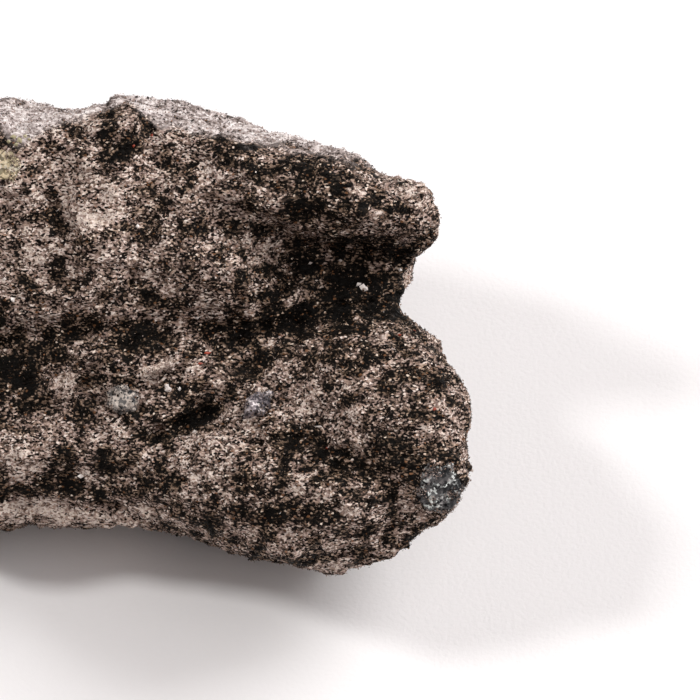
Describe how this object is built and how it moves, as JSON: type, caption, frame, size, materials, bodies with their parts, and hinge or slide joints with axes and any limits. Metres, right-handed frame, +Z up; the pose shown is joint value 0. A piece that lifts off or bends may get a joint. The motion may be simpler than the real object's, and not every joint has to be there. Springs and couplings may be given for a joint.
{
  "type": "alexandrite in mica schist",
  "caption": "Rough hand specimen of dark, grainy mica schist with small alexandrite crystals and a pale chrysoberyl seated in its broken face; lies on a worn flat.",
  "frame": {"origin": "under the middle of the specimen's box, on the surface that it lies on", "axes": "+X along the specimen to its crystal end, +Y to the back, away from the broken face, +Z up"},
  "size_m": [0.092, 0.0684, 0.0399],
  "materials": {
    "schist": "rough broken mica schist, black mica with beige grains",
    "alexandrite": "dark blue-green crystal, glassy breaks",
    "chrysoberyl": "pale yellow-green crystal, dull glassy"
  },
  "bodies": {
    "root": {"schist": "schist", "alexandrite_end": "alexandrite", "alexandrite_face": "alexandrite", "alexandrite_seam": "alexandrite", "chrysoberyl_pale": "chrysoberyl"}
  },
  "joints": []
}
